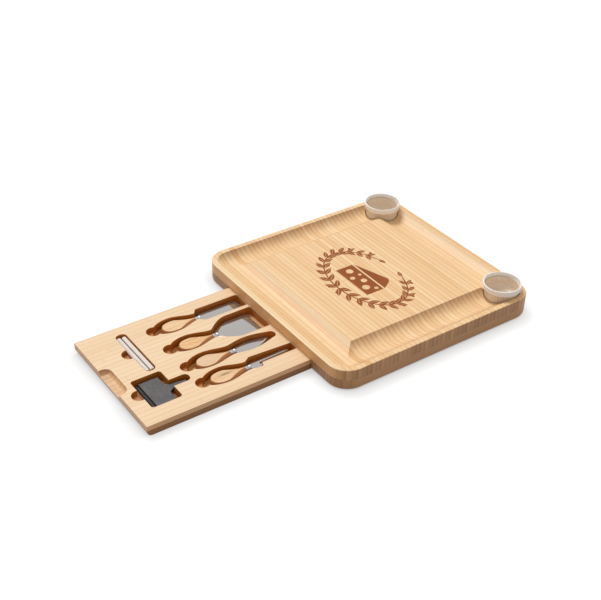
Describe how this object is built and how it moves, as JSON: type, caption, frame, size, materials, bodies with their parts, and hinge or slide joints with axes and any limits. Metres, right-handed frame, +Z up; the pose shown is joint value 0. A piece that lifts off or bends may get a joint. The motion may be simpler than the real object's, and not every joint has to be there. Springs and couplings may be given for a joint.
{
  "type": "serving board with tool drawer",
  "caption": "Square bamboo serving board with a wide groove, small bowls in its back corners and a pull-out drawer of cheese knives, chalk and slate markers.",
  "frame": {"origin": "on the resting surface, under the middle of the object's outline with its drawer fully open", "axes": "+Z up; the drawer opens toward -Y, and +Y points from the drawer to the board's back; +X is to the right of someone at the drawer"},
  "size_m": [0.33, 0.5648, 0.0448],
  "materials": {
    "board_wood": "satin oiled bamboo",
    "rail_wood": "satin oiled bamboo, darker",
    "drawer_wood": "satin oiled bamboo",
    "drawer_base_wood": "satin oiled bamboo, end grain",
    "handle_wood": "smooth oiled hardwood",
    "ferrule_steel": "bright drawn tube",
    "blade_steel": "fine brushed",
    "pin_steel": "plain",
    "magnet": "nickel plated",
    "white_glaze": "glossy white glaze",
    "chalk": "dusty matt",
    "slate": "matt, split surface"
  },
  "bodies": {
    "board": {"top_slab": "board_wood", "left_rail": "rail_wood", "right_rail": "rail_wood", "back_rail": "rail_wood", "board_magnets": "magnet"},
    "drawer": {"drawer_top_panel": "drawer_wood", "drawer_base_panel": "drawer_base_wood", "guide_pins": "pin_steel", "drawer_magnets": "magnet"},
    "plane_knife": {"plane_handle": "handle_wood", "plane_ferrule": "ferrule_steel", "plane_blade": "blade_steel"},
    "spatula_knife": {"spatula_handle": "handle_wood", "spatula_ferrule": "ferrule_steel", "spatula_blade": "blade_steel"},
    "spade_knife": {"spade_handle": "handle_wood", "spade_ferrule": "ferrule_steel", "spade_blade": "blade_steel"},
    "fork_knife": {"fork_handle": "handle_wood", "fork_ferrule": "ferrule_steel", "fork_blade": "blade_steel"},
    "left_bowl": {"left_bowl": "white_glaze"},
    "right_bowl": {"right_bowl": "white_glaze"},
    "back_chalk": {"back_chalk": "chalk"},
    "front_chalk": {"front_chalk": "chalk"},
    "lower_slate": {"lower_slate": "slate"},
    "upper_slate": {"upper_slate": "slate"}
  },
  "joints": [
    {"name": "drawer_slide", "type": "slide", "parent": "board", "child": "drawer", "axis": [0, -1, 0], "range_m": [-0.2348, 0]},
    {"name": "left_bowl_lift", "type": "slide", "parent": "board", "child": "left_bowl", "axis": [0, 0, 1], "range_m": [0, 0.04]},
    {"name": "right_bowl_lift", "type": "slide", "parent": "board", "child": "right_bowl", "axis": [0, 0, 1], "range_m": [0, 0.04]},
    {"name": "plane_knife_lift", "type": "slide", "parent": "drawer", "child": "plane_knife", "axis": [0, 0, 1], "range_m": [0, 0.04]},
    {"name": "spatula_knife_lift", "type": "slide", "parent": "drawer", "child": "spatula_knife", "axis": [0, 0, 1], "range_m": [0, 0.04]},
    {"name": "spade_knife_lift", "type": "slide", "parent": "drawer", "child": "spade_knife", "axis": [0, 0, 1], "range_m": [0, 0.04]},
    {"name": "fork_knife_lift", "type": "slide", "parent": "drawer", "child": "fork_knife", "axis": [0, 0, 1], "range_m": [0, 0.04]},
    {"name": "back_chalk_lift", "type": "slide", "parent": "drawer", "child": "back_chalk", "axis": [0, 0, 1], "range_m": [0, 0.04]},
    {"name": "front_chalk_lift", "type": "slide", "parent": "drawer", "child": "front_chalk", "axis": [0, 0, 1], "range_m": [0, 0.04]},
    {"name": "lower_slate_lift", "type": "slide", "parent": "drawer", "child": "lower_slate", "axis": [0, 0, 1], "range_m": [0, 0.04]},
    {"name": "upper_slate_lift", "type": "slide", "parent": "lower_slate", "child": "upper_slate", "axis": [0, 0, 1], "range_m": [0, 0.04]}
  ]
}
